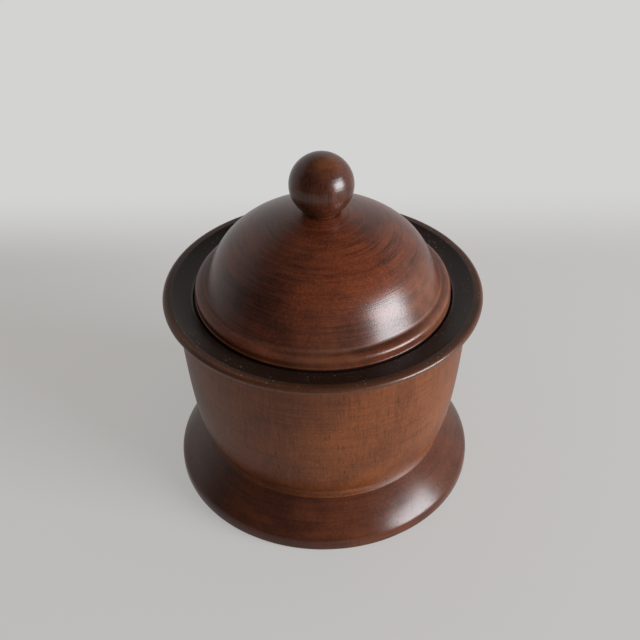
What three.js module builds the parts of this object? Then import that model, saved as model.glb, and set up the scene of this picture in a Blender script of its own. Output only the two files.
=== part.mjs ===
// Turned wooden jar: a pot with a rebated rim, a flared foot, a domed lid and a ball knob.
// Millimetres, +Z up. The origin is the centre of the foot on the table, and every piece
// is turned about the Z axis. Profiles are (radius, height) pairs.

import * as THREE from 'three';

// Fits
const GLUE_GAP = 0.3;           // between glued faces, and under the resting lid
const LID_CLEARANCE = 0.8;      // radial play of the loose lid in its rebate

// Rim of the pot
const RIM_RADIUS = 75;          // widest line of the rim
const RIM_HEIGHT = 100.5;       // height of that line above the table
const RIM_ROLL = 1.6;           // radius of the rim's outer edge
const RIM_ROLL_START = -70;     // where the underside meets that edge, degrees round it
const RIM_BAND = 4.2;           // width of the band from the arris to that edge
const RIM_BAND_SLOPE = 1;       // fall of that band, degrees
const DISH_WIDTH = 10;          // dished top face, from the arris in to the rebate
const DISH_FALL = 2.3;          // how far that face drops towards the lid
const DISH_OUTER_ANGLE = 202;   // direction of the dished face at the arris, degrees
const DISH_INNER_ANGLE = 186;   // and at the rebate
const DISH_PULL = [0.3, 0.3];   // reach of the curve's two handles, as shares of its chord
const REBATE_DEPTH = 1.9;       // seat of the lid below the dish
const SEAT_WIDTH = 4.8;         // seat of the lid, from the rebate in to the mouth
const RIM_OVERHANG = 6.2;       // rim beyond the wall below it
const RIM_COVE = 3.5;           // hollow under the rim
const RIM_THICKNESS = 3;        // from the widest line down to the top of the cove

// Pot
const WAIST_RADIUS = 56.6;      // where the wall meets the foot
const WAIST_ANGLE = 36.5;       // rise of the wall out of the waist, degrees
const WALL_TOP_ANGLE = 87;      // rise of the wall under the rim, degrees
const WALL_PULL = [0.16, 0.55];
const FLOOR_THICKNESS = 13.7;   // wood under the cavity, spigot included
const CAVITY_CORNER = 16;       // round between the inner wall and that floor
const SPIGOT_RADIUS = 38;       // spigot glued into the foot
const SPIGOT_LENGTH = 8;
const CHAMFER = 0.6;            // on the spigot, the tenon and the inner edges

// Foot
const FOOT_RADIUS = 73.9;
const FOOT_HEIGHT = 22.5;
const FOOT_SHELF = 2.9;         // flat shelf round the waist
const FOOT_SHELF_ROUND = 1.6;   // round on the shelf's outer edge
const FOOT_SHELF_ANGLE = 45;    // fall of the foot below the shelf, degrees
const FOOT_ROLL = 4;            // radius of the foot's outer edge
const FOOT_ROLL_ANGLE = 56;     // fall of the foot above that edge, degrees
const FOOT_PULL = [0.33, 0.33];
const FOOT_EDGE_HEIGHT = 3.4;   // height of the centre of that edge's round
const FOOT_CORNER = 1.2;        // round at the table
const FOOT_RING = 14.7;         // width of the ring that rests on the table
const FOOT_HOLLOW = 2.2;        // rise of the underside inside that ring
const FOOT_HOLLOW_RUN = 6;      // run of the slope into that hollow

// Lid
const LID_CORNER = 0.6;
const LID_EDGE = 2.45;          // from the base up to the centre of the bead's round
const BEAD_ROUND = 0.6;         // small bead along the foot of the lip
const BEAD_END = 80;            // degrees round the bead where the lip's face starts
const LIP_SET_BACK = 0.15;      // face of the lip inside the lid's edge
const LIP_TOP = 7.8;            // top of the lip above the base
const LIP_ROUND = 2.2;          // round on the lip's top
const LIP_BACK = 120;           // degrees round it where the groove starts
const QUIRK = 0.85;             // upright face between the groove and the dome
const DOME_RISE = 36.47;        // from that face up to the knob's seat
const DOME_BASE_ANGLE = 118.5;  // direction of the dome's surface at its base, degrees
const DOME_CROWN_ANGLE = 164;   // and at the crown
const DOME_PULL = [0.28, 0.65];
const LID_WALL = 9.5;           // from the dome's base in to the hollow
const HOLLOW_BASE_ANGLE = -75;  // direction of the hollow's surface where it turns upright
const HOLLOW_PULL = [0.44, 0.33];
const CROWN_THICKNESS = 10.2;   // wood above the hollow, under the knob

// Knob
const KNOB_RADIUS = 14.57;
const NECK_RADIUS = 7.8;
const NECK_HEIGHT = 0.8;
const NECK_FLARE = 0.5;         // how far the neck spreads onto the lid
const TENON_RADIUS = 5;
const TENON_FLOOR = 2.4;        // wood left under the tenon's hole

// Facets
const TURNS = 56;
const KNOB_TURNS = 36;
const ROUND_STEP = 20;          // degrees per facet on a round
const BALL_STEP = 12;
const CURVE_STEP = 5;           // length of a facet along a longer curve
const SAME_POINT = 1e-6;        // points closer than this count as one

const radians = THREE.MathUtils.degToRad;
const point = (radius, height) => new THREE.Vector2(radius, height);

// Points on a round of the given semi-axes; degrees start at the outward direction.
function round(centre, across, up, from, to, step = ROUND_STEP) {
  const steps = Math.ceil(Math.abs(to - from) / step);
  const points = [];
  for (let i = 0; i <= steps; i += 1) {
    const angle = radians(from + ((to - from) * i) / steps);
    points.push(point(centre.x + across * Math.cos(angle), centre.y + up * Math.sin(angle)));
  }
  return points;
}

// Smooth curve that leaves and arrives in the given directions, in degrees.
function sweep(start, leave, end, arrive, pull) {
  const reach = start.distanceTo(end);
  const near = point(Math.cos(radians(leave)), Math.sin(radians(leave)));
  const far = point(Math.cos(radians(arrive)), Math.sin(radians(arrive)));
  const curve = new THREE.CubicBezierCurve(
    start,
    start.clone().addScaledVector(near, pull[0] * reach),
    end.clone().addScaledVector(far, -pull[1] * reach),
    end,
  );
  return curve.getPoints(Math.ceil(reach / CURVE_STEP));
}

// Solid of revolution about Z, from a profile that starts and ends on the axis.
function turned(name, profile, turns, finish) {
  const clean = profile.flat().filter((p, i, all) => i === 0 || p.distanceTo(all[i - 1]) > SAME_POINT);
  const geometry = new THREE.LatheGeometry(clean, turns);
  geometry.rotateX(Math.PI / 2);
  const mesh = new THREE.Mesh(geometry, new THREE.MeshStandardMaterial(finish));
  mesh.name = name;
  return mesh;
}

// Sizes that the pieces share
const wallRadius = RIM_RADIUS - RIM_OVERHANG;
const rollCentre = point(RIM_RADIUS - RIM_ROLL, RIM_HEIGHT);
const arrisRadius = RIM_RADIUS - RIM_BAND;
const rebateRadius = arrisRadius - DISH_WIDTH;
const mouthRadius = rebateRadius - SEAT_WIDTH;
const rollEnd = 90 - RIM_BAND_SLOPE;
const roll = round(rollCentre, RIM_ROLL, RIM_ROLL, RIM_ROLL_START, rollEnd);
const bandTop = roll.at(-1);
const arrisHeight = bandTop.y + (bandTop.x - arrisRadius) * Math.tan(radians(RIM_BAND_SLOPE));
const dishHeight = arrisHeight - DISH_FALL;
const seatHeight = dishHeight - REBATE_DEPTH;
const lidRadius = rebateRadius - LID_CLEARANCE;
const lidBase = seatHeight + GLUE_GAP;
const neckBase = NECK_RADIUS + NECK_FLARE;

function makeBody() {
  const spigotEnd = FOOT_HEIGHT + GLUE_GAP - SPIGOT_LENGTH;
  const waist = point(WAIST_RADIUS, FOOT_HEIGHT + GLUE_GAP);
  const wallTop = point(wallRadius, RIM_HEIGHT - RIM_THICKNESS - RIM_COVE);
  const arris = point(arrisRadius, arrisHeight);
  const dishEdge = point(rebateRadius, dishHeight);
  const floor = spigotEnd + FLOOR_THICKNESS;
  const corner = point(mouthRadius - CAVITY_CORNER, floor + CAVITY_CORNER);
  const profile = [
    point(0, spigotEnd),
    point(SPIGOT_RADIUS - CHAMFER, spigotEnd),
    point(SPIGOT_RADIUS, spigotEnd + CHAMFER),
    point(SPIGOT_RADIUS, waist.y),
    sweep(waist, WAIST_ANGLE, wallTop, WALL_TOP_ANGLE, WALL_PULL),
    round(point(wallRadius + RIM_COVE, wallTop.y), -RIM_COVE, RIM_COVE, 0, 90),
    roll,
    sweep(arris, DISH_OUTER_ANGLE, dishEdge, DISH_INNER_ANGLE, DISH_PULL),
    point(rebateRadius, seatHeight),
    point(mouthRadius + CHAMFER, seatHeight),
    point(mouthRadius, seatHeight - CHAMFER),
    round(corner, CAVITY_CORNER, CAVITY_CORNER, 0, -90),
    point(0, floor),
  ];
  return turned('jar_body', profile, TURNS, { color: 0x693c28, roughness: 0.42, metalness: 0 });
}

function makeFoot() {
  const ringInner = FOOT_RADIUS - FOOT_CORNER - FOOT_RING;
  const rollTop = 90 - FOOT_ROLL_ANGLE;
  const edge = round(point(FOOT_RADIUS - FOOT_ROLL, FOOT_EDGE_HEIGHT), FOOT_ROLL, FOOT_ROLL, 0, rollTop);
  const shelfCentre = point(WAIST_RADIUS + FOOT_SHELF, FOOT_HEIGHT - FOOT_SHELF_ROUND);
  const shelf = round(shelfCentre, FOOT_SHELF_ROUND, FOOT_SHELF_ROUND, 90 - FOOT_SHELF_ANGLE, 90);
  const slope = sweep(edge.at(-1), 90 + rollTop, shelf[0], 180 - FOOT_SHELF_ANGLE, FOOT_PULL);
  const recessRadius = SPIGOT_RADIUS + GLUE_GAP;
  const recessFloor = FOOT_HEIGHT - SPIGOT_LENGTH;
  const profile = [
    point(0, FOOT_HOLLOW),
    point(ringInner - FOOT_HOLLOW_RUN, FOOT_HOLLOW),
    point(ringInner, 0),
    round(point(FOOT_RADIUS - FOOT_CORNER, FOOT_CORNER), FOOT_CORNER, FOOT_CORNER, -90, 0),
    edge,
    slope,
    shelf,
    point(recessRadius, FOOT_HEIGHT),
    point(recessRadius, recessFloor),
    point(0, recessFloor),
  ];
  return turned('foot', profile, TURNS, { color: 0x44281d, roughness: 0.36, metalness: 0 });
}

function makeLid() {
  const bead = round(point(lidRadius - BEAD_ROUND, lidBase + LID_EDGE), BEAD_ROUND, BEAD_ROUND, 0, BEAD_END);
  const lipCentre = point(lidRadius - LIP_SET_BACK - LIP_ROUND, lidBase + LIP_TOP - LIP_ROUND);
  const lip = round(lipCentre, LIP_ROUND, LIP_ROUND, 0, LIP_BACK);
  const groove = lip.at(-1);
  const domeBase = point(groove.x, groove.y + QUIRK);
  const crown = point(neckBase + CHAMFER, domeBase.y + DOME_RISE);
  const hollowTop = crown.y - CROWN_THICKNESS;
  const hollowBase = point(domeBase.x - LID_WALL, groove.y);
  const holeRadius = TENON_RADIUS + GLUE_GAP;
  const holeFloor = hollowTop + TENON_FLOOR;
  const profile = [
    sweep(point(0, hollowTop), 0, hollowBase, HOLLOW_BASE_ANGLE, HOLLOW_PULL),
    point(hollowBase.x, lidBase + CHAMFER),
    point(hollowBase.x + CHAMFER, lidBase),
    point(lidRadius - LID_CORNER, lidBase),
    point(lidRadius, lidBase + LID_CORNER),
    bead,
    lip,
    sweep(domeBase, DOME_BASE_ANGLE, crown, DOME_CROWN_ANGLE, DOME_PULL),
    point(holeRadius, crown.y),
    point(holeRadius, holeFloor),
    point(0, holeFloor),
  ];
  const mesh = turned('lid', profile, TURNS, { color: 0x532717, roughness: 0.33, metalness: 0 });
  return { mesh, crown, holeFloor };
}

function makeKnob(crown, holeFloor) {
  const shoulder = crown.y + GLUE_GAP;
  const tenonEnd = holeFloor + GLUE_GAP;
  const ballStart = Math.acos(NECK_RADIUS / KNOB_RADIUS);
  const ballCentre = point(0, shoulder + NECK_HEIGHT + KNOB_RADIUS * Math.sin(ballStart));
  const profile = [
    point(0, tenonEnd),
    point(TENON_RADIUS - CHAMFER, tenonEnd),
    point(TENON_RADIUS, tenonEnd + CHAMFER),
    point(TENON_RADIUS, shoulder),
    point(neckBase, shoulder),
    round(ballCentre, KNOB_RADIUS, KNOB_RADIUS, -THREE.MathUtils.radToDeg(ballStart), 90, BALL_STEP),
  ];
  return turned('knob', profile, KNOB_TURNS, { color: 0x43231a, roughness: 0.3, metalness: 0 });
}

const jar = new THREE.Group();
const { mesh: lid, crown, holeFloor } = makeLid();
const lidGroup = new THREE.Group();
lidGroup.add(lid, makeKnob(crown, holeFloor));
jar.add(makeFoot(), makeBody(), lidGroup);

export default jar;
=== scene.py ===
import logging
import math
import random
from dataclasses import dataclass, field
from enum import Enum
from functools import cached_property
from typing import Any, Union

import bpy
import numpy as np
from bpy.types import Material, Node, NodeSocket, Object
from mathutils import Matrix, Vector


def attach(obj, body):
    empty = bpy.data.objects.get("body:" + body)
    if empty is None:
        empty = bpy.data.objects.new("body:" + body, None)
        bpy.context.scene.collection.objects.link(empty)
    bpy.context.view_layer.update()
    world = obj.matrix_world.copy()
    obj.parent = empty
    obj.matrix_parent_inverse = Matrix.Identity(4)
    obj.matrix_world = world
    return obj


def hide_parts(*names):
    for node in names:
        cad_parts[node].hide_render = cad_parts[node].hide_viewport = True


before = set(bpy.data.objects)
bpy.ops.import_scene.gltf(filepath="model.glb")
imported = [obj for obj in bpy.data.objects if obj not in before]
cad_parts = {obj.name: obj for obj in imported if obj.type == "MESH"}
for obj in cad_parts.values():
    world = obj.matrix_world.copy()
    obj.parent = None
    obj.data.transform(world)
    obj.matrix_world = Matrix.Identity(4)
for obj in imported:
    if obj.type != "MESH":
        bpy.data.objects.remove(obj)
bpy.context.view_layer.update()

LOG = logging.getLogger("wooden_jar")

Number = Union[float, "Value"]
Colour = tuple[float, float, float]
Triple = tuple[float, float, float]
Pair = tuple[float, float]
Place = tuple[float, float]

MM = 0.001
HALF = 0.5
ROUND_STEP = 8.0  # degrees between the points of a round
CURVE_STEP = 0.8  # millimetres between the points of a curve
FEWEST_STEPS = 4  # facets of the shortest round or curve
CORNER_STEPS = 5  # facets of a softened corner
CORNER_SHARE = 0.45  # how far a softened corner may reach along the lines beside it
SAME_POINT = 1e-6  # millimetres within which two points count as one
TINY = 1e-12  # keeps a division by a length from failing
TURNS = 288  # facets round a turned piece
FULL_BEND = 70.0  # degrees of bend that make a full edge
STREAK_ROUGH = 0.6  # strength of the finer layers of streaks that run round a piece


class Body(Enum):
    """The bodies that the pieces ride on."""

    JAR = "jar"
    LID = "lid"


class Slot(Enum):
    """The record's material slots."""

    FOOT = "foot_wood"
    POT = "pot_wood"
    LID = "lid_wood"
    KNOB = "knob_wood"


class Layer(Enum):
    """Numbers that each vertex of a turned piece carries for its finish."""

    ALONG = "along"  # distance along the outline, in millimetres
    FACING = "facing"  # 1 on level faces, 0 on upright ones
    EDGE = "edge"  # towards 1 on a sharp edge, towards -1 in a corner
    # the stain layer also carries painted shade on the lid's side face, in the gap round the lid
    STAIN = "stain"  # 1 where the dark stain lies thick, -1 where it is rubbed thin


@dataclass(frozen=True)
class Point:
    """A point of a half section, in millimetres, how far its corner is softened, and its stain."""

    radius: float
    height: float
    soft: float = 0.0
    stain: float = 0.0

    def away(self, other: "Point") -> float:
        """Returns the distance to another point."""
        return math.hypot(self.radius - other.radius, self.height - other.height)

    def towards(self, other: "Point", share: float) -> "Point":
        """Finds a point on the way to another.

        Args:
            other: the point at the end of the way.
            share: how much of the way to go, from 0 to 1.

        Returns:
            The point, which is not softened.
        """
        radius = self.radius + (other.radius - self.radius) * share
        height = self.height + (other.height - self.height) * share
        return Point(radius, height, 0.0, self.stain + (other.stain - self.stain) * share)


@dataclass
class Outline:
    """Half section of a turned piece, from the axis round the piece and back to the axis."""

    points: list[Point] = field(default_factory=list)
    stain: float = 0.0

    def stained(self, stain: float) -> "Outline":
        """Sets the stain of the points that follow and returns the outline."""
        self.stain = stain
        return self

    def to(self, radius: float, height: float, soft: float = 0.0) -> "Outline":
        """Goes straight to a point.

        Args:
            radius: the point's distance from the axis.
            height: its height above the table.
            soft: how far its corner is softened.

        Returns:
            The outline itself.
        """
        here = Point(radius, height, soft, self.stain)
        if self.points and here.away(self.points[-1]) < SAME_POINT:
            self.points.pop()
        self.points.append(here)
        return self

    def round(self, centre: Place, across: float, up: float, start: float, end: float) -> "Outline":
        """Goes round part of an ellipse.

        Args:
            centre: radius and height of the centre.
            across: semi-axis along the radius.
            up: semi-axis along the height.
            start: first angle in degrees, from the outward direction.
            end: last angle in degrees.

        Returns:
            The outline itself.
        """
        steps = max(FEWEST_STEPS, math.ceil(abs(end - start) / ROUND_STEP))
        for i in range(steps + 1):
            angle = math.radians(start + (end - start) * i / steps)
            self.to(centre[0] + across * math.cos(angle), centre[1] + up * math.sin(angle))
        return self

    def sweep(self, leave: float, end: Place, arrive: float, pull: Pair, soft: float = 0.0) -> "Outline":
        """Goes along a smooth curve from the last point.

        Args:
            leave: direction at the start, in degrees.
            end: radius and height of the end.
            arrive: direction at the end, in degrees.
            pull: reach of the two handles, as shares of the chord.
            soft: softness of the corner at its end.

        Returns:
            The outline itself.
        """
        first = Vector((self.points[-1].radius, self.points[-1].height))
        last = Vector(end)
        reach = (last - first).length
        near = first + pull[0] * reach * heading(leave)
        far = last - pull[1] * reach * heading(arrive)
        steps = max(FEWEST_STEPS, math.ceil(reach / CURVE_STEP))
        for i in range(1, steps + 1):
            t = i / steps
            s = 1 - t
            place = s ** 3 * first + 3 * s * s * t * near + 3 * s * t * t * far + t ** 3 * last
            self.to(place.x, place.y, soft if i == steps else 0.0)
        return self

    def _softened(self, index: int) -> list[Point]:
        """Softens one corner.

        Args:
            index: which point the corner is.

        Returns:
            The points that take the corner's place.
        """
        before, corner, after = self.points[index - 1:index + 2]
        back, ahead = corner.away(before), corner.away(after)
        reach = min(corner.soft, back * CORNER_SHARE, ahead * CORNER_SHARE)
        start, end = corner.towards(before, reach / back), corner.towards(after, reach / ahead)
        shares = [k / CORNER_STEPS for k in range(CORNER_STEPS + 1)]
        return [start.towards(corner, t).towards(corner.towards(end, t), t) for t in shares]

    def refined(self) -> list[Point]:
        """Softens the corners and divides the long straight lines.

        Returns:
            The finished points.
        """
        made = [self.points[0]]
        for i in range(1, len(self.points) - 1):
            made.extend(self._softened(i) if self.points[i].soft > 0 else [self.points[i]])
        made.append(self.points[-1])
        fine = [made[0]]
        for last, here in zip(made, made[1:]):
            steps = max(1, math.ceil(last.away(here) / CURVE_STEP))
            fine.extend(last.towards(here, k / steps) for k in range(1, steps + 1))
        return fine


def heading(degrees: float) -> Vector:
    """Returns the unit vector in the half section that points in a direction."""
    return Vector((math.cos(math.radians(degrees)), math.sin(math.radians(degrees))))


def added(name: str, data: Any) -> Object:
    """Adds an object to the scene.

    Args:
        name: the object's name.
        data: its mesh, lamp or camera.

    Returns:
        The object.
    """
    thing = bpy.data.objects.new(name, data)
    bpy.context.scene.collection.objects.link(thing)
    return thing


@dataclass(frozen=True)
class Knocks:
    """Shallow knocks, mostly on a piece's edges, as years of use leave them. Sizes are in millimetres."""

    count: int
    seed: int
    depth: Pair = (0.03, 0.1)
    length: Pair = (1.6, 4.5)
    width: Pair = (0.7, 1.5)
    off_edge: float = 0.02  # chance of a knock on a smooth surface, beside 1 on a sharp edge

    def press(self, points: np.ndarray, normals: np.ndarray, edge: np.ndarray) -> np.ndarray:
        """Presses the knocks into a turned surface.

        Args:
            points: places of the vertices, in millimetres.
            normals: outward directions of the vertices.
            edge: the vertices' edge layer.

        Returns:
            The new places.
        """
        draw = random.Random(self.seed)
        moved = points.copy()
        likely = np.clip(edge, self.off_edge, 1) * np.hypot(points[:, 0], points[:, 1])
        reach = np.cumsum(likely)
        for _ in range(self.count):
            centre = points[int(np.searchsorted(reach, draw.random() * reach[-1]))]
            length, width = draw.uniform(*self.length), draw.uniform(*self.width)
            depth = draw.uniform(*self.depth)
            radius = max(math.hypot(centre[0], centre[1]), SAME_POINT)
            round_way = np.array((-centre[1], centre[0], 0.0)) / radius
            offset = points - centre
            along = offset @ round_way
            across = np.linalg.norm(offset - np.outer(along, round_way), axis=1)
            fall = np.exp(-(along / length) ** 2 - (across / width) ** 2)
            moved -= normals * (depth * fall)[:, None]
        return moved


@dataclass
class TurnedPiece:
    """A solid of revolution with layers for its finish, which takes the place of a CAD node."""

    name: str
    node: str
    body: Body
    slot: Slot
    knocks: Knocks
    finish: "StainedWood"
    edge_reach: float = 0.9  # millimetres over which an edge fades into the surface

    def _edges(self, line: np.ndarray, along: np.ndarray) -> np.ndarray:
        """Finds how sharply the outline bends near each point.

        Args:
            line: radius and height of the outline's points.
            along: their distances along the outline.

        Returns:
            Numbers towards 1 on an outward edge and towards -1 in a corner.
        """
        steps = np.diff(line, axis=0)
        angles = np.unwrap(np.arctan2(steps[:, 1], steps[:, 0]))
        bend = np.zeros(len(line))
        bend[1:-1] = np.diff(angles)
        near = np.exp(-((along[:, None] - along[None, :]) / self.edge_reach) ** 2)
        return np.clip(near @ bend / math.radians(FULL_BEND), -1, 1)

    def _spun(self, across: np.ndarray, up: np.ndarray) -> np.ndarray:
        """Turns points of the half section round the axis.

        Args:
            across: their numbers along the radius.
            up: their numbers along the height.

        Returns:
            Rows of X, Y and Z, ring by ring.
        """
        angle = np.arange(TURNS) * 2 * math.pi / TURNS
        spin = np.stack([np.cos(angle), np.sin(angle)], axis=1)
        flat = np.tile(spin, (len(across), 1)) * np.repeat(across, TURNS)[:, None]
        return np.column_stack([flat, np.repeat(up, TURNS)])

    def _faces(self, rings: int) -> list[tuple[int, ...]]:
        """Joins the rings, and closes the two ends with fans on the axis.

        Args:
            rings: how many rings of vertices there are.

        Returns:
            The vertices of each face.
        """
        faces = []
        low, high = rings * TURNS, rings * TURNS + 1
        last = (rings - 1) * TURNS
        for k in range(TURNS):
            following = (k + 1) % TURNS
            faces.append((low, following, k))
            faces.append((high, last + k, last + following))
            for row in range(0, last, TURNS):
                above = row + TURNS
                faces.append((row + k, row + following, above + following, above + k))
        return faces

    def build(self, outline: Outline) -> Object:
        """Makes the mesh, puts it in its CAD node's place and gives it its finish.

        Args:
            outline: the half section.

        Returns:
            The new object, which rides on its body.
        """
        points = outline.refined()
        line = np.array([(p.radius, p.height) for p in points])
        along = np.concatenate([[0.0], np.cumsum(np.hypot(*np.diff(line, axis=0).T))])
        tangent = np.gradient(line, along, axis=0)
        tangent /= np.linalg.norm(tangent, axis=1)[:, None] + TINY
        layers = {
            Layer.ALONG: along,
            Layer.FACING: np.abs(tangent[:, 0]),
            Layer.EDGE: self._edges(line, along),
            Layer.STAIN: np.array([p.stain for p in points]),
        }
        values = {layer: np.concatenate([np.repeat(numbers[1:-1], TURNS), numbers[[0, -1]]])
                  for layer, numbers in layers.items()}
        places = self._spun(line[1:-1, 0], line[1:-1, 1])
        normals = self._spun(tangent[1:-1, 1], -tangent[1:-1, 0])
        places = self.knocks.press(places, normals, values[Layer.EDGE][:-2])
        poles = [(0.0, 0.0, line[0, 1]), (0.0, 0.0, line[-1, 1])]
        vertices = np.concatenate([places, poles]) * MM
        mesh = bpy.data.meshes.new(self.name)
        mesh.from_pydata(vertices.tolist(), [], self._faces(len(points) - 2))
        for layer, numbers in values.items():
            attribute = mesh.attributes.new(layer.value, "FLOAT", "POINT")
            attribute.data.foreach_set("value", numbers.astype(np.float32))
        mesh.shade_smooth()
        piece = added(self.name, mesh)
        piece.modifiers.new("even_shading", "WEIGHTED_NORMAL")
        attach(piece, self.body.value)
        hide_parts(self.node)
        mesh.materials.append(self.finish.material())
        return piece


@dataclass(frozen=True)
class Value:
    """A number that varies over a surface: it wraps a socket, and arithmetic on it adds Math nodes."""

    paint: "Paint"
    socket: NodeSocket

    def _math(self, operation: str, *numbers: Number) -> "Value":
        """Adds a Math node with the given operation."""
        node = self.paint.node("ShaderNodeMath", {"operation": operation}, dict(enumerate(numbers)))
        return Value(self.paint, node.outputs[0])

    def __add__(self, other: Number) -> "Value":
        """Returns self + other."""
        return self._math("ADD", self, other)

    def __radd__(self, other: Number) -> "Value":
        """Returns other + self."""
        return self._math("ADD", other, self)

    def __sub__(self, other: Number) -> "Value":
        """Returns self - other."""
        return self._math("SUBTRACT", self, other)

    def __rsub__(self, other: Number) -> "Value":
        """Returns other - self."""
        return self._math("SUBTRACT", other, self)

    def __mul__(self, other: Number) -> "Value":
        """Returns self * other."""
        return self._math("MULTIPLY", self, other)

    def __neg__(self) -> "Value":
        """Returns self with its sign turned."""
        return self._math("MULTIPLY", self, -1.0)

    def at_least(self, low: Number) -> "Value":
        """Returns self, or low where that is larger."""
        return self._math("MAXIMUM", self, low)

    def sine(self) -> "Value":
        """Returns the sine of self."""
        return self._math("SINE", self)

    def ease(self, low: float, high: float) -> "Value":
        """Goes smoothly from 0 to 1, and stays 0 and 1 beyond the two ends.

        Args:
            low: where self gives 0.
            high: where self gives 1; it may be the smaller of the two.

        Returns:
            The eased number.
        """
        start, end = (0.0, 1.0) if low <= high else (1.0, 0.0)
        inputs = {0: self, 1: min(low, high), 2: max(low, high), 3: start, 4: end}
        node = self.paint.node("ShaderNodeMapRange", {"interpolation_type": "SMOOTHSTEP"}, inputs)
        return Value(self.paint, node.outputs[0])


@dataclass(frozen=True)
class Grain:
    """Noise: the size of its patches along X, Y and Z, its finer layers and their strength."""

    size: Triple
    detail: float = 2.0
    rough: float = 0.5
    span: Pair | None = None  # noise that is eased to 0 and to 1
    least: float = 0.0  # what is left where it would be 0


@dataclass(frozen=True)
class Streak:
    """Noise in streaks that run round a turned piece: their width, length and finer layers."""

    width: float
    reach: float
    detail: float
    span: Pair | None = None


@dataclass(frozen=True)
class Dots:
    """Scattered dots, one in each cell."""

    cell: Triple
    fade: Pair  # distance from its middle, in cells, where a dot ends and where it is full
    share: float  # what a full dot counts
    shift: Triple = (0.0, 0.0, 0.0)


class Paint:
    """The node tree of one material, or of the world. Its places and sizes are in millimetres."""

    def __init__(self, name: str, holder: Any = None) -> None:
        """Starts an empty node tree, of a new material unless another holder is given.

        Args:
            name: the new material's name.
            holder: what else holds the tree.
        """
        self.holder = holder or bpy.data.materials.new(name)
        self.holder.use_nodes = True
        self.tree = self.holder.node_tree
        self.tree.nodes.clear()

    def node(self, kind: str, settings: dict[str, Any] | None = None,
             inputs: dict[int | str, Any] | None = None) -> Node:
        """Adds a node.

        Args:
            kind: the node's type.
            settings: its properties, which are set first.
            inputs: numbers, colours, sockets or values for its sockets, by index or name.

        Returns:
            The node.
        """
        made = self.tree.nodes.new(kind)
        for name, setting in (settings or {}).items():
            setattr(made, name, setting)
        for key, given in (inputs or {}).items():
            socket = made.inputs[key]
            if isinstance(given, Value):
                self.tree.links.new(given.socket, socket)
            elif isinstance(given, NodeSocket):
                self.tree.links.new(given, socket)
            elif socket.type == "RGBA" and len(given) == 3:
                socket.default_value = (*given, 1.0)
            else:
                socket.default_value = given
        return made

    def layer(self, layer: Layer) -> Value:
        """Returns one of the numbers that the vertices carry."""
        settings = {"attribute_type": "GEOMETRY", "attribute_name": layer.value}
        return Value(self, self.node("ShaderNodeAttribute", settings).outputs["Fac"])

    @cached_property
    def place(self) -> NodeSocket:
        """Gives the place on the piece, which moves with the piece."""
        coordinates = self.node("ShaderNodeTexCoord").outputs["Object"]
        return self.vector("SCALE", coordinates, scale=1 / MM)

    def axes(self, vector: NodeSocket) -> list[Value]:
        """Returns a vector's numbers along X, Y and Z."""
        node = self.node("ShaderNodeSeparateXYZ", {}, {0: vector})
        return [Value(self, socket) for socket in node.outputs]

    def rays(self) -> list[Value]:
        """Returns three numbers, 1 for rays from the camera, from a mirror and through glass, else 0."""
        node = self.node("ShaderNodeLightPath")
        names = ("Is Camera Ray", "Is Glossy Ray", "Is Transmission Ray")
        return [Value(self, node.outputs[name]) for name in names]

    def vector(self, operation: str, first: Any, second: Any = None,
               scale: Number | None = None) -> NodeSocket:
        """Adds a Vector Math node.

        Args:
            operation: the node's operation.
            first: the first vector.
            second: the second vector, if the operation takes one.
            scale: the number to scale by, if it takes one.

        Returns:
            The resulting vector.
        """
        given = {0: first, 1: second, "Scale": scale}
        inputs = {key: number for key, number in given.items() if number is not None}
        return self.node("ShaderNodeVectorMath", {"operation": operation}, inputs).outputs[0]

    def length(self, vector: NodeSocket) -> Value:
        """Returns the length of a vector."""
        node = self.node("ShaderNodeVectorMath", {"operation": "LENGTH"}, {0: vector})
        return Value(self, node.outputs["Value"])

    def grain(self, grain: Grain, at: NodeSocket | None = None) -> Value:
        """Adds noise.

        Args:
            grain: what the noise is like.
            at: where it is read, if not at the place on the piece.

        Returns:
            The noise from 0 to 1.
        """
        squeezed = self.vector("DIVIDE", self.place if at is None else at, grain.size)
        inputs = {"Vector": squeezed, "Scale": 1.0, "Detail": grain.detail, "Roughness": grain.rough}
        noise = Value(self, self.node("ShaderNodeTexNoise", {}, inputs).outputs["Fac"])
        if grain.span:
            noise = noise.ease(*grain.span)
        return noise * (1 - grain.least) + grain.least if grain.least > 0 else noise

    def streak(self, streak: Streak) -> Value:
        """Adds noise in streaks that run round the turned piece.

        Args:
            streak: what the streaks are like.

        Returns:
            The noise from 0 to 1.
        """
        across, deep, _ = self.axes(self.place)
        flat = 1 / streak.reach
        along = self.layer(Layer.ALONG) * (1 / streak.width)
        where = self.node("ShaderNodeCombineXYZ", {}, {0: across * flat, 1: deep * flat, 2: along})
        noise = Grain((1.0, 1.0, 1.0), streak.detail, STREAK_ROUGH, streak.span)
        return self.grain(noise, where.outputs[0])

    def dots(self, dots: Dots, length: float = 1.0) -> Value:
        """Adds scattered dots.

        Args:
            dots: what the dots are like.
            length: how many times longer they are along Z.

        Returns:
            A number from 0 between the dots to their share in their middle.
        """
        shifted = self.vector("ADD", self.place, dots.shift)
        squeezed = self.vector("DIVIDE", shifted, (*dots.cell[:2], dots.cell[2] * length))
        node = self.node("ShaderNodeTexVoronoi", {"feature": "F1"}, {"Vector": squeezed, "Scale": 1.0})
        return Value(self, node.outputs["Distance"]).ease(*dots.fade) * dots.share

    def mix(self, share: Number, first: Any, second: Any) -> NodeSocket:
        """Covers the first colour with the second by the given share."""
        settings = {"data_type": "RGBA", "blend_type": "MIX", "clamp_factor": True}
        return self.node("ShaderNodeMix", settings, {0: share, 6: first, 7: second}).outputs[2]

    def shade(self, colour: Any, by: Value) -> NodeSocket:
        """Multiplies a colour by a number."""
        return self.vector("SCALE", colour, scale=by)

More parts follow.
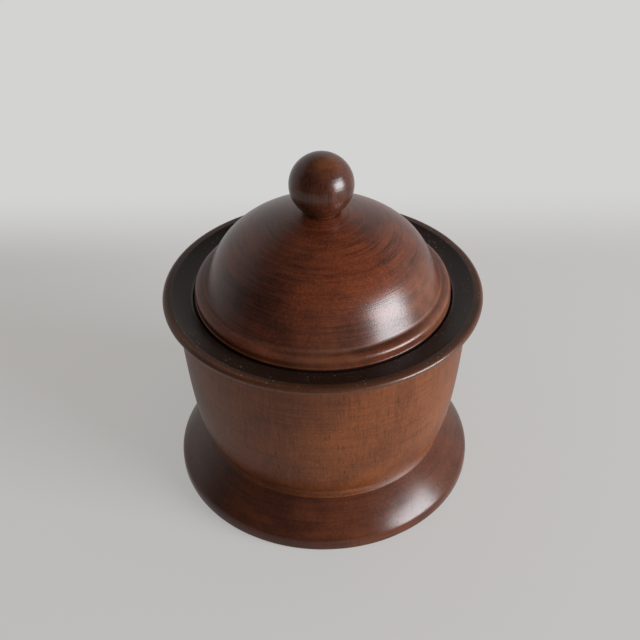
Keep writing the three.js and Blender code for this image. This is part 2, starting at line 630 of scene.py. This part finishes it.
    def blend(self, share: Number, first: NodeSocket, second: NodeSocket) -> NodeSocket:
        """Covers the first shader with the second by the given share."""
        return self.node("ShaderNodeMixShader", {}, {0: share, 1: first, 2: second}).outputs[0]

    def finish(self, shader: NodeSocket) -> Material:
        """Ends the tree in the given shader and returns the material."""
        self.node("ShaderNodeOutputMaterial", {}, {"Surface": shader})
        return self.holder


@dataclass(frozen=True)
class Patch:
    """A soft-edged patch, in millimetres on the piece, where more stain darkens the wood and less lightens
    it; some patches are painted shade on the side away from the lamp and painted light on the side towards
    it.
    """

    centre: Triple
    reach: float
    # above 0 it darkens, below 0 it lightens; it carries painted shade and painted light as well as stain
    stain: float
    lumps: float = 3.0  # how many lumps of its uneven edge go into its reach
    uneven: float = 0.7  # how uneven that edge is
    fade: Pair = (1.35, 0.35)  # where the patch ends and where it is full, as shares of its reach

    def spread(self, paint: Paint) -> Value:
        """Paints the patch.

        Args:
            paint: the paint to add it to.

        Returns:
            A number from 0 outside the patch to 1 in its middle.
        """
        lump = self.reach / self.lumps
        uneven = paint.grain(Grain((lump, lump, lump), 3.0, 0.6))
        far = paint.length(paint.vector("SUBTRACT", paint.place, self.centre))
        return (far * (1 / self.reach) + uneven * self.uneven).ease(*self.fade)


@dataclass(frozen=True)
class Dust:
    """Sparse specks of dust on level faces."""

    share: float = 0.6
    colour: Colour = (0.34, 0.30, 0.27)
    dull: float = 0.3
    facing: Pair = (0.9, 0.97)
    coarse: Dots = Dots((2.4, 2.4, 2.4), (0.2, 0.08), 0.7)
    fine: Dots = Dots((1.0, 1.0, 1.0), (0.24, 0.08), 0.5, (7.0, 3.0, 1.0))
    spread: Grain = Grain((12.0, 12.0, 12.0), 2.0, 0.5, (0.4, 0.62))

    def specks(self, paint: Paint) -> Value:
        """Paints the specks, as numbers from 0 to about 1 in the middle of a speck."""
        level = paint.layer(Layer.FACING).ease(*self.facing)
        return (paint.dots(self.coarse) + paint.dots(self.fine)) * paint.grain(self.spread) * level


@dataclass(frozen=True)
class StainedWood:
    """Stained and lacquered wood whose grain runs up the axis of turning. Sizes are in millimetres."""

    name: str
    light: Colour  # wood that took little stain
    dark: Colour  # wood that took more
    stain: Colour  # thick dark stain
    worn: Colour  # wood that is rubbed bare
    # patches of more or less stain, and of painted shade and painted light
    patches: tuple[Patch, ...] = ()
    dust: Dust | None = None

    streaks: Grain = Grain((1.4, 1.4, 24.0), 4.0, 0.62)  # up the grain
    round_streaks: Streak = Streak(2.2, 46.0, 5.0)
    turned_share: float = 0.0  # of the streaks that run round the piece
    streak_share: float = 0.4  # of the streaks in the tone, beside the blotches
    blotches: Grain = Grain((30.0, 30.0, 39.0), 3.0, 0.55)
    tone_span: Pair = (0.36, 0.64)  # tones at which the wood is dark and light

    pith: Place = (6.0, 4.0)  # where the growth rings are centred, along X and Y
    ring_width: float = 5.0
    ring_share: float = 0.1
    ring_bend: float = 2.2  # how far the rings waver, in widths of a ring
    ring_waver: Grain = Grain((30.0, 30.0, 90.0))

    pore_depth: float = 0.45  # how much the pores darken the wood
    pore_length: float = 13.0
    wide_pores: Dots = Dots((1.5, 1.5, 1.0), (0.3, 0.12), 0.8)
    fine_pores: Dots = Dots((0.9, 0.9, 0.54), (0.3, 0.1), 0.6, (31.0, 17.0, 5.0))
    pore_spread: Grain = Grain((9.0, 9.0, 20.0), 2.0, 0.5, (0.3, 0.7), 0.3)
    pore_drop: float = 0.018
    pore_dull: float = 0.12

    speckle: float = 1.5  # how much the finest figure darkens and lightens
    speckles: Grain = Grain((0.9, 0.9, 1.2), 2.0, 0.7)

    line_depth: float = 0.2  # how much the turning lines darken the wood
    line_relief: float = 0.006
    broad_lines: Streak = Streak(1.5, 40.0, 3.0, (0.46, 0.64))
    thin_lines: Streak = Streak(0.6, 26.0, 2.0, (0.42, 0.62))
    line_spread: Grain = Grain((22.0, 22.0, 12.0), 2.0, 0.5, (0.34, 0.62), 0.3)

    worn_share: float = 0.2  # how bare the edges are rubbed
    worn_edge: Pair = (0.12, 0.75)
    worn_spread: Grain = Grain((7.0, 7.0, 7.0), 3.0, 0.6, (0.25, 0.7), 0.4)

    # painted shade: the corners and creases, where the outline bends inwards, are darkened where shade falls
    crease_shade_depth: float = 0.3  # how much the corners darken
    shaded_crease: Pair = (0.1, 0.8)
    crease_dull: float = 0.25
    dull_crease: Pair = (0.1, 0.7)

    roughness: float = 0.3
    blotch_dull: float = 0.06
    streak_rise: float = 0.006
    edge_polish: float = 0.0  # weight of the polish on the edges
    polished_edge: Pair = (0.1, 0.6)
    polish_roughness: float = 0.14
    ior: float = 1.46

    def material(self) -> Material:
        """Makes the finished material.

        Returns:
            The material.
        """
        paint = Paint(self.name)
        edge = paint.layer(Layer.EDGE)
        upright, turned = paint.grain(self.streaks), paint.streak(self.round_streaks)
        streaks = upright * (1 - self.turned_share) + turned * self.turned_share
        blotches = paint.grain(self.blotches)
        pores = self._pores(paint)
        lines = self._lines(paint)
        rings = (self._rings(paint) - HALF) * self.ring_share
        tone = streaks * self.streak_share + blotches * (1 - self.streak_share) + rings
        colour = paint.mix(tone.ease(*self.tone_span), self.dark, self.light)
        colour = paint.shade(colour, 1 - pores * self.pore_depth)
        colour = paint.shade(colour, 1 + (paint.grain(self.speckles) - HALF) * self.speckle)
        colour = paint.shade(colour, 1 - lines * self.line_depth)
        colour = self._stained(paint, colour)
        # painted shade in the corners and creases
        colour = paint.shade(colour, 1 - (-edge).ease(*self.shaded_crease) * self.crease_shade_depth)
        rough = self.roughness + pores * self.pore_dull + blotches * self.blotch_dull
        rough = rough + (-edge).ease(*self.dull_crease) * self.crease_dull
        if self.dust:
            specks = self.dust.specks(paint)
            colour = paint.mix(specks * self.dust.share, colour, self.dust.colour)
            rough = rough + specks * self.dust.dull
        height = pores * -self.pore_drop + lines * -self.line_relief + streaks * self.streak_rise
        bump = paint.node("ShaderNodeBump", {}, {"Height": height, "Distance": MM, "Strength": 1.0})
        shader = paint.node("ShaderNodeBsdfPrincipled", {}, {
            "Base Color": colour,
            "Roughness": rough,
            "IOR": self.ior,
            "Normal": bump.outputs[0],
            "Coat Weight": edge.ease(*self.polished_edge) * self.edge_polish,
            "Coat Roughness": self.polish_roughness,
        })
        return paint.finish(shader.outputs[0])

    def _stained(self, paint: Paint, colour: NodeSocket) -> NodeSocket:
        """Rubs the stain thin on edges, and lays it on thick where the outline and each patch say; some of
        these values are painted shade and painted light.

        Args:
            paint: the paint to work in.
            colour: the wood's colour.

        Returns:
            The new colour.
        """
        stain = paint.layer(Layer.STAIN)
        for patch in self.patches:
            # the patches add stain, painted shade on the side away from the lamp and painted light on the
            # side towards it
            stain = stain + patch.spread(paint) * patch.stain
        rubbed = paint.layer(Layer.EDGE).ease(*self.worn_edge) * self.worn_share
        # negative values thin the stain towards the worn colour; on the lit side this is painted light
        thin = ((-stain).at_least(0.0) + rubbed) * paint.grain(self.worn_spread)
        colour = paint.mix(thin, colour, self.worn)
        return paint.mix(stain.ease(0.0, 1.0), colour, self.stain)

    def _rings(self, paint: Paint) -> Value:
        """Paints the growth rings round a pith that is off the axis of turning.

        Args:
            paint: the paint to add them to.

        Returns:
            The rings from 0 to 1.
        """
        waver = paint.grain(self.ring_waver) * (self.ring_width * self.ring_bend)
        from_pith = paint.vector("SUBTRACT", paint.place, (*self.pith, 0.0))
        flat = paint.vector("MULTIPLY", from_pith, (1.0, 1.0, 0.0))
        reach = paint.length(flat) + waver
        return (reach * (2 * math.pi / self.ring_width)).sine() * HALF + HALF

    def _pores(self, paint: Paint) -> Value:
        """Paints the open pores, thin tubes that run up the grain, as numbers from 0."""
        wide, fine = (paint.dots(dots, self.pore_length) for dots in (self.wide_pores, self.fine_pores))
        return (wide + fine) * paint.grain(self.pore_spread)

    def _lines(self, paint: Paint) -> Value:
        """Paints the lines that the turning left, as numbers from 0 to 1."""
        both = paint.streak(self.broad_lines) + paint.streak(self.thin_lines)
        return both * HALF * paint.grain(self.line_spread)


@dataclass
class Foot:
    """The low flared foot that the pot is glued into."""

    radius: float = 73.9
    height: float = 22.5
    waist_radius: float = 56.6
    waist_angle: float = 38.0  # fall of the slope at the waist
    roll: float = 5.5  # radius of the outer edge
    roll_angle: float = 52.0  # fall of the slope above that edge
    slope_pull: Pair = (0.1, 0.6)
    edge_height: float = 3.4  # height of the centre of that edge's round
    corner: float = 1.2  # round at the table
    ring: float = 14.7  # width of the ring that rests on the table
    ring_soft: float = 1.0
    hollow: float = 2.2  # rise of the underside inside that ring
    hollow_run: float = 6.0  # run of the slope into that hollow
    recess_radius: float = 38.3
    recess_depth: float = 8.0
    recess_soft: float = 0.3
    knocks: Knocks = Knocks(count=26, seed=11)
    finish: StainedWood = StainedWood(
        "foot_lacquer", light=(0.104, 0.029, 0.012), dark=(0.048, 0.014, 0.008),
        stain=(0.030, 0.010, 0.006), worn=(0.30, 0.13, 0.06), ring_share=0.03, line_depth=0.3,
        pore_depth=0.3, crease_shade_depth=0.1, ior=1.40, roughness=0.22, speckle=0.9, turned_share=0.5,
        # painted shade: a darker patch on the foot's left side, away from the lamp
        patches=(Patch((-62.0, -30.0, 12.0), 42.0, 0.4),))

    def outline(self) -> Outline:
        """Draws the half section.

        Returns:
            The outline.
        """
        ring_inner = self.radius - self.corner - self.ring
        roll_top = 90 - self.roll_angle
        floor = self.height - self.recess_depth
        line = Outline().to(0, self.hollow)
        line.to(ring_inner - self.hollow_run, self.hollow, self.ring_soft).to(ring_inner, 0, self.ring_soft)
        line.round((self.radius - self.corner, self.corner), self.corner, self.corner, -90, 0)
        line.round((self.radius - self.roll, self.edge_height), self.roll, self.roll, 0, roll_top)
        waist = (self.waist_radius, self.height)
        line.sweep(90 + roll_top, waist, 180 - self.waist_angle, self.slope_pull)
        line.to(self.recess_radius, self.height, self.recess_soft)
        return line.to(self.recess_radius, floor, self.recess_soft).to(0, floor)

    def build(self) -> Object:
        """Makes the foot with its finish."""
        piece = TurnedPiece("flared_foot", "foot", Body.JAR, Slot.FOOT, self.knocks, self.finish)
        return piece.build(self.outline())


@dataclass
class Pot:
    """The pot with its overhanging, dished and rebated rim."""

    radius: float = 75.0
    rim_height: float = 100.5  # height of the rim's widest line
    base: float = 22.8
    roll: float = 1.6  # radius of the rim's outer edge
    roll_start: float = -70.0  # where the underside meets that edge
    band: float = 4.2  # width of the band from the arris to that edge
    band_slope: float = 1.0
    arris_soft: float = 0.35
    dish_width: float = 10.0  # dished top face, from the arris in to the rebate
    dish_fall: float = 2.3
    dish_angles: Pair = (202.0, 186.0)  # its directions at the arris and at the rebate
    dish_pull: Pair = (0.3, 0.3)
    dish_soft: float = 0.25
    rebate_depth: float = 1.9
    seat_width: float = 4.8
    seat_soft: float = 0.3
    mouth_soft: float = 0.6
    overhang: float = 6.2  # rim beyond the wall below it
    cove: float = 3.5  # hollow under the rim
    rim_thickness: float = 3.0  # from the widest line down to the top of that hollow
    waist_radius: float = 56.6
    waist_angle: float = 36.5  # rise of the wall out of the waist
    wall_top_angle: float = 87.0
    wall_pull: Pair = (0.1, 0.55)
    foot_angle: float = 38.5  # fall of the foot's slope beside the waist
    waist_cove: float = 2.3  # reach of the soft cove between wall and slope
    waist_pull: Pair = (0.6, 0.6)
    cove_tail: float = 3.0  # thin tail of that cove, which goes into the foot's slope
    cove_bury: float = 0.6  # and how deep it goes
    glue_line: float = 22.55
    floor_thickness: float = 13.7
    cavity_corner: float = 16.0
    spigot_radius: float = 38.0
    spigot_length: float = 8.0
    spigot_soft: float = 0.3
    chamfer: float = 0.6
    cove_stain: float = 0.15
    # dark stain on the rim's rolled edge
    edge_stain_and_shade: float = 0.5
    band_stain: float = 0.75
    dish_stain: float = 1.0
    knocks: Knocks = Knocks(count=34, seed=23)
    finish: StainedWood = StainedWood(
        "pot_lacquer", light=(0.168, 0.048, 0.014), dark=(0.104, 0.029, 0.009),
        stain=(0.020, 0.0095, 0.006), worn=(0.30, 0.14, 0.07), worn_share=0.03, ring_share=0.06,
        roughness=0.36, dust=Dust(), crease_shade_depth=0.0, edge_polish=0.35, speckle=1.1, line_depth=0.32,
        ior=1.34)

    def outline(self) -> Outline:
        """Draws the half section, from the spigot up the outside and down into the cavity."""
        return self._rim(self._base())

    def _base(self) -> Outline:
        """Draws the spigot, the glue line, the cove at the waist and the wall.

        Returns:
            The outline up to the top of the wall.
        """
        spigot_end = self.base - self.spigot_length
        line = Outline().to(0, spigot_end).to(self.spigot_radius - self.chamfer, spigot_end)
        line.to(self.spigot_radius, spigot_end + self.chamfer)
        line.to(self.spigot_radius, self.base, self.spigot_soft)
        line.to(self.spigot_radius + self.chamfer, self.base).to(self.waist_radius, self.glue_line)
        waist = Vector((self.waist_radius, self.base))
        tip = waist + self.waist_cove * heading(-self.foot_angle)
        tail = tip + self.cove_tail * heading(-self.foot_angle)
        buried = tail + self.cove_bury * heading(-90 - self.foot_angle)
        line.to(buried.x, buried.y).stained(self.cove_stain).to(tip.x, tip.y)
        flare = waist + self.waist_cove * heading(self.waist_angle)
        line.sweep(180 - self.foot_angle, (flare.x, flare.y), self.waist_angle, self.waist_pull).stained(0.0)
        wall_top = (self.radius - self.overhang, self.rim_height - self.rim_thickness - self.cove)
        return line.sweep(self.waist_angle, wall_top, self.wall_top_angle, self.wall_pull)

    def _rim(self, line: Outline) -> Outline:
        """Adds the hollow under the rim, the rim, the lid's seat and the cavity.

        Args:
            line: the outline up to the top of the wall.

        Returns:
            The whole outline.
        """
        wall_radius = self.radius - self.overhang
        wall_top = self.rim_height - self.rim_thickness - self.cove
        line.round((wall_radius + self.cove, wall_top), -self.cove, self.cove, 0, 90)
        line.stained(self.edge_stain_and_shade)
        centre = (self.radius - self.roll, self.rim_height)
        line.round(centre, self.roll, self.roll, self.roll_start, 90 - self.band_slope)
        top = math.radians(90 - self.band_slope)
        band_top = (centre[0] + self.roll * math.cos(top), centre[1] + self.roll * math.sin(top))
        arris = self.radius - self.band
        arris_height = band_top[1] + (band_top[0] - arris) * math.tan(math.radians(self.band_slope))
        line.stained(self.band_stain).to(arris, arris_height, self.arris_soft).stained(self.dish_stain)
        rebate = (arris - self.dish_width, arris_height - self.dish_fall)
        line.sweep(self.dish_angles[0], rebate, self.dish_angles[1], self.dish_pull, self.dish_soft)
        seat = rebate[1] - self.rebate_depth
        mouth = rebate[0] - self.seat_width
        line.to(rebate[0], seat, self.seat_soft).to(mouth, seat, self.mouth_soft).stained(0.0)
        floor = self.base - self.spigot_length + self.floor_thickness
        corner = (mouth - self.cavity_corner, floor + self.cavity_corner)
        return line.round(corner, self.cavity_corner, self.cavity_corner, 0, -90).to(0, floor)

    def build(self) -> Object:
        """Makes the pot with its finish."""
        piece = TurnedPiece("pot_with_rim", "jar_body", Body.JAR, Slot.POT, self.knocks, self.finish)
        return piece.build(self.outline())


@dataclass
class Lid:
    """The loose domed lid with its bead, its rounded lip and the soft hollow above it."""

    radius: float = 60.0
    base: float = 98.25
    base_soft: float = 0.5
    edge: float = 2.45  # from the base up to the centre of the bead's round
    bead: float = 0.6
    bead_end: float = 80.0
    shoulder: Place = (57.0, 103.6)  # centre of the lip's round
    shoulder_round: Pair = (2.85, 2.6)
    shoulder_end: float = 64.0
    lip_pull: Pair = (0.55, 0.4)
    dome_base: Place = (54.93, 107.3)
    dome_base_angle: float = 115.0
    dome_pull: Pair = (0.287, 0.66)
    crown_height: float = 143.075
    crown_radius: float = 8.9
    crown_angle: float = 163.5
    crown_soft: float = 0.2
    crown_thickness: float = 10.2  # wood above the hollow, under the knob
    hollow_base: Place = (47.05, 105.76)
    hollow_angle: float = -75.0
    hollow_pull: Pair = (0.44, 0.33)
    hole_radius: float = 5.3
    hole_floor: float = 2.4  # wood left under the tenon's hole
    # dark stain that is also painted shade for the gap round the lid
    edge_stain_and_shade: float = 1.0
    stain_end: float = 0.4  # how far below the bead's centre that stain ends
    lip_rub: float = -0.15
    knocks: Knocks = Knocks(count=18, seed=37)
    finish: StainedWood = StainedWood(
        "lid_lacquer", light=(0.150, 0.034, 0.012), dark=(0.050, 0.013, 0.007),
        stain=(0.014, 0.006, 0.005), worn=(0.26, 0.10, 0.05), ring_share=0.03, line_depth=0.6,
        pore_depth=0.4, pore_length=1.7, roughness=0.25, line_relief=0.014, turned_share=0.6,
        crease_shade_depth=0.1, worn_share=0.1,
        # painted shade: the darker patches on the dome's left and beside the knob's neck, away from the
        # lamp; painted light: the lighter patch on the dome's right, towards it; the dark patch right of the
        # middle and the light one low at the front make the wood darker and lighter there
        patches=(Patch((-44.0, -26.0, 118.0), 34.0, 0.55), Patch((-12.0, -8.0, 143.0), 16.0, 0.25),
                 Patch((16.0, -34.0, 126.0), 18.0, 0.2), Patch((2.0, -54.0, 109.0), 22.0, -0.16),
                 Patch((50.0, -26.0, 115.0), 27.0, -0.5)))

    def outline(self) -> Outline:
        """Draws the half section, from the hollow round the lip and up the dome.

        Returns:
            The outline.
        """
        hollow_top = self.crown_height - self.crown_thickness
        hole_floor = hollow_top + self.hole_floor
        bead = (self.radius - self.bead, self.base + self.edge)
        crown = (self.crown_radius, self.crown_height)
        line = Outline().to(0, hollow_top)
        line.sweep(0, self.hollow_base, self.hollow_angle, self.hollow_pull)
        # painted shade: the underside and the side face below the bead are stained dark for the shadow in
        # the gap round the lid
        line.to(self.hollow_base[0], self.base, self.base_soft).stained(self.edge_stain_and_shade)
        line.to(self.radius, self.base, self.base_soft)
        line.to(self.radius, bead[1] - self.stain_end).stained(self.lip_rub)
        line.round(bead, self.bead, self.bead, 0, self.bead_end)
        line.round(self.shoulder, *self.shoulder_round, 0, self.shoulder_end)
        line.sweep(90 + self.shoulder_end, self.dome_base, self.dome_base_angle, self.lip_pull).stained(0.0)
        line.sweep(self.dome_base_angle, crown, self.crown_angle, self.dome_pull, self.crown_soft)
        line.to(self.hole_radius, self.crown_height, self.crown_soft)
        return line.to(self.hole_radius, hole_floor, self.crown_soft).to(0, hole_floor)

    def build(self) -> Object:
        """Makes the lid with its finish."""
        piece = TurnedPiece("domed_lid", "lid", Body.LID, Slot.LID, self.knocks, self.finish)
        return piece.build(self.outline())


@dataclass
class Knob:
    """The ball knob on its short neck, with its tenon in the lid's crown."""

    crown: float
    radius: float = 14.57
    neck_radius: float = 7.8
    neck_height: float = 0.8
    neck_soft: float = 0.2
    shoulder_height: float = 0.3  # of the neck above the crown
    tenon_radius: float = 5.0
    tenon_length: float = 7.5
    tenon_soft: float = 0.5
    knocks: Knocks = Knocks(count=3, seed=41)
    finish: StainedWood = StainedWood(
        "knob_lacquer", light=(0.100, 0.027, 0.011), dark=(0.038, 0.010, 0.006),
        stain=(0.026, 0.009, 0.006), worn=(0.22, 0.085, 0.035), ring_share=0.03, worn_share=0.0,
        line_depth=0.15, pore_depth=0.5, roughness=0.24,
        # painted shade: the darker patch low on the ball's left, away from the lamp; the lighter patch on
        # top is stain rubbed thin
        patches=(Patch((-6.0, -10.0, 150.0), 14.0, 0.6), Patch((1.0, -5.0, 171.0), 11.0, -0.4)))

    def outline(self) -> Outline:
        """Draws the half section.

        Returns:
            The outline.
        """
        shoulder = self.crown + self.shoulder_height
        tenon_end = shoulder - self.tenon_length
        start = math.degrees(math.acos(self.neck_radius / self.radius))
        centre = (0.0, shoulder + self.neck_height + self.radius * math.sin(math.radians(start)))
        line = Outline().to(0, tenon_end).to(self.tenon_radius, tenon_end, self.tenon_soft)
        line.to(self.tenon_radius, self.crown, self.neck_soft).to(self.neck_radius, self.crown)
        return line.round(centre, self.radius, self.radius, -start, 90)

    def build(self) -> Object:
        """Makes the knob with its finish."""
        piece = TurnedPiece("ball_knob", "knob", Body.LID, Slot.KNOB, self.knocks, self.finish)
        return piece.build(self.outline())


@dataclass(frozen=True)
class Lamp:
    """A soft lamp like a window, which the camera doesn't see."""

    name: str
    azimuth: float  # degrees from the camera's side towards +X
    elevation: float  # degrees above the horizon
    distance: float  # metres from the jar
    size: Pair  # width and height in metres
    power: float  # watts
    colour: Colour

    def build(self, target: Triple) -> None:
        """Adds the lamp to the scene.

        Args:
            target: the point that it faces.
        """
        data = bpy.data.lights.new(self.name, "AREA")
        data.shape = "RECTANGLE"
        data.size, data.size_y = self.size
        data.energy = self.power
        data.color = self.colour
        lamp = added(self.name, data)
        around, raised = math.radians(self.azimuth), math.radians(self.elevation)
        flat = math.cos(raised)
        way = Vector((math.sin(around) * flat, -math.cos(around) * flat, math.sin(raised)))
        lamp.location = Vector(target) + way * self.distance
        lamp.rotation_mode = "QUATERNION"
        lamp.rotation_quaternion = (-way).to_track_quat("-Z", "Y")
        lamp.visible_camera = False


@dataclass
class Studio:
    """Pale floor, soft light and the camera. Lengths are in metres, angles in degrees."""

    target: Triple = (0.0, 0.0, 0.1005)  # the point that the camera and the lamp face
    camera_distance: float = 0.4949
    camera_elevation: float = 36.09
    camera_pitch: float = 37.86
    camera_yaw: float = -0.20
    camera_roll: float = 0.74
    lens: float = 59.06  # millimetres, as the sensor's width
    sensor: float = 36.0
    clip: Pair = (0.01, 50.0)
    window: Lamp = Lamp("window", azimuth=65.0, elevation=11.5, distance=2.6, size=(1.5, 1.2),
                        power=113.0, colour=(0.955, 0.99, 1.03))
    floor_colour: Colour = (0.70, 0.69, 0.68)
    floor_roughness: float = 0.7
    floor_shown: Colour = (0.57, 0.565, 0.555)
    floor_share: float = 0.6  # of that plain colour, for camera, mirror and glass
    floor_near: float = 1.6  # reach of the floor in front and to the sides
    floor_fade: Pair = (0.16, 0.26)  # where it fades away behind the jar
    floor_end: Pair = (0.5, 1.5)  # and on all sides
    backdrop: Colour = (0.65, 0.65, 0.645)
    backdrop_sides: Pair = (0.5, -0.35)  # how far it reaches round to the right and to the left
    backdrop_fade: Pair = (0.0, 0.8)
    backdrop_top: Pair = (0.85, 0.55)  # how steeply up it ends and is full
    room: Colour = (0.32, 0.29, 0.26)
    room_mirrored: float = 0.2

    def camera(self) -> None:
        """Makes the camera at the photograph's viewing angle, without depth of field."""
        data = bpy.data.cameras.new("view_camera")
        data.sensor_width = self.sensor
        data.lens = self.lens
        data.dof.use_dof = False
        data.clip_start, data.clip_end = self.clip
        camera = added("view_camera", data)
        pitch, yaw, roll = (math.radians(a) for a in (self.camera_pitch, self.camera_yaw, self.camera_roll))
        flat = math.cos(pitch)
        ahead = Vector((math.sin(yaw) * flat, math.cos(yaw) * flat, -math.sin(pitch)))
        right = Vector((math.cos(yaw), -math.sin(yaw), 0.0))
        up = right.cross(ahead)
        turned_right = math.cos(roll) * right - math.sin(roll) * up
        turned_up = math.sin(roll) * right + math.cos(roll) * up
        axes = Matrix((turned_right, turned_up, -ahead)).transposed().to_4x4()
        raised = math.radians(self.camera_elevation)
        away = self.camera_distance * Vector((0.0, -math.cos(raised), math.sin(raised)))
        camera.matrix_world = Matrix.Translation(away + Vector(self.target)) @ axes
        bpy.context.scene.camera = camera

    def floor(self) -> None:
        """Makes the pale floor, which keeps the shadow and fades into the backdrop behind the jar."""
        mesh = bpy.data.meshes.new("pale_floor")
        far, near = self.floor_fade[1], self.floor_near
        corners = [(-near, -near, 0), (near, -near, 0), (near, far, 0), (-near, far, 0)]
        mesh.from_pydata(corners, [], [(0, 1, 2, 3)])
        mesh.materials.append(self._floor_paint())
        floor = added("pale_floor", mesh)

    def _floor_paint(self) -> Material:
        """Makes the floor's material.

        Returns:
            The material: lit, partly plain to the camera, and clear where the floor ends.
        """
        paint = Paint("pale_floor")
        matt = {"Base Color": self.floor_colour, "Roughness": self.floor_roughness}
        lit = paint.node("ShaderNodeBsdfPrincipled", {}, matt)
        plain = paint.node("ShaderNodeEmission", {}, {"Color": self.floor_shown, "Strength": 1.0})
        camera, mirror, glass = paint.rays()
        shown = (camera + mirror + glass) * self.floor_share
        surface = paint.blend(shown, lit.outputs[0], plain.outputs[0])
        behind = paint.axes(paint.place)[1].ease(*(edge / MM for edge in self.floor_fade))
        around = paint.length(paint.place).ease(*(edge / MM for edge in self.floor_end))
        clear = paint.node("ShaderNodeBsdfTransparent")
        return paint.finish(paint.blend(behind.at_least(around), surface, clear.outputs[0]))

    def world(self) -> None:
        """Makes the room: a pale backdrop for camera, mirror and glass, and dim air elsewhere."""
        world = bpy.data.worlds.new("studio_room")
        paint = Paint("studio_room", world)
        camera, mirror, glass = paint.rays()
        seen = mirror + glass
        way = paint.node("ShaderNodeTexCoord").outputs["Generated"]
        aside, ahead, up = paint.axes(way)
        right, left = self.backdrop_sides
        across = ahead + (aside * right).at_least(aside * left)
        backdrop = across.ease(*self.backdrop_fade) * up.ease(*self.backdrop_top)
        mirrored = tuple(part * self.room_mirrored for part in self.room)
        pale, dim, dark = (
            paint.node("ShaderNodeBackground", {}, {"Color": colour, "Strength": 1.0}).outputs[0]
            for colour in (self.backdrop, self.room, mirrored))
        mixed = paint.blend(camera + seen * backdrop, paint.blend(seen, dim, dark), pale)
        paint.node("ShaderNodeOutputWorld", {}, {"Surface": mixed})
        bpy.context.scene.world = world

    def build(self) -> None:
        """Sets up the whole stage."""
        bpy.context.scene.view_settings.view_transform = "Standard"
        self.camera()
        self.floor()
        self.world()
        self.window.build(self.target)


def main() -> None:
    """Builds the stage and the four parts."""
    logging.basicConfig(level=logging.INFO, format="%(name)s: %(message)s")
    Studio().build()
    lid = Lid()
    for part in (Foot(), Pot(), lid, Knob(crown=lid.crown_height)):
        piece = part.build()


if __name__ == "__main__":
    main()
